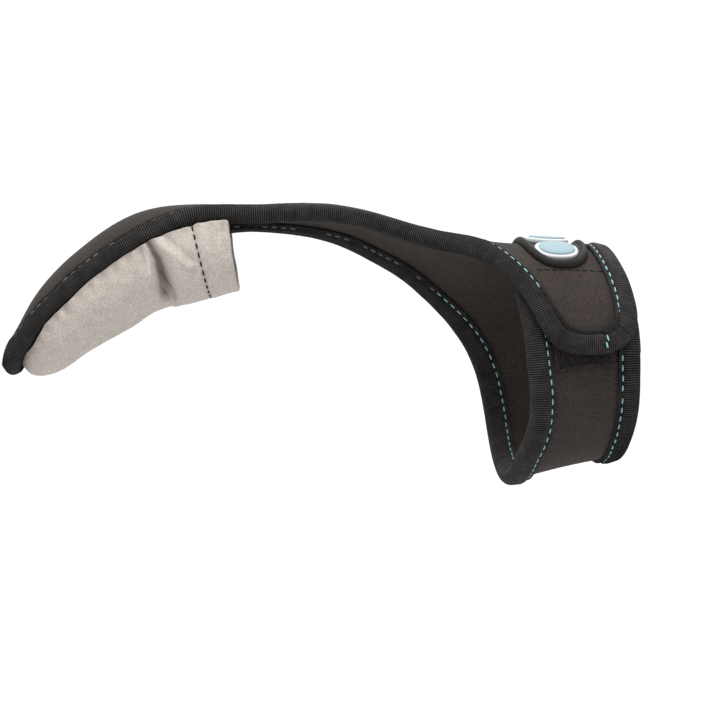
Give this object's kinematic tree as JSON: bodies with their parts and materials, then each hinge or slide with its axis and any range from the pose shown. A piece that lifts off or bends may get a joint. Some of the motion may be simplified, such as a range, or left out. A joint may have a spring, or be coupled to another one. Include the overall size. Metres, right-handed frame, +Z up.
{
  "type": "fishing casting glove",
  "caption": "Right-hand casting finger guard: bound neoprene strip from index fingertip to a wrist strap with hook-and-loop flap, suede finger pocket.",
  "frame": {"origin": "middle of the wrist hollow, where the glove sits on the wrist", "axes": "+X along the wrist towards the forearm, +Z up through the back of the glove, thumb side towards -Y"},
  "size_m": [0.1829, 0.0698, 0.0839],
  "materials": {
    "neoprene": "matte heathered knit on foam",
    "binding": "ribbed woven tape",
    "suede": "brushed nap",
    "closure": "looped pile and hooks",
    "badge_rubber": "satin moulded",
    "pebble_white": "satin moulded",
    "pebble_blue": "satin moulded",
    "thread_teal": "sewing thread",
    "thread_dark": "sewing thread"
  },
  "bodies": {
    "root": {"neoprene_body": "neoprene", "edge_binding": "binding", "finger_pocket": "suede", "loop_patch": "closure", "hook_patch": "closure", "badge_base": "badge_rubber", "badge_pebble_rim_1": "pebble_white", "badge_pebble_rim_2": "pebble_white", "badge_pebble_rim_3": "pebble_white", "badge_pebble_1": "pebble_blue", "badge_pebble_2": "pebble_blue", "badge_pebble_3": "pebble_blue"}
  },
  "joints": []
}
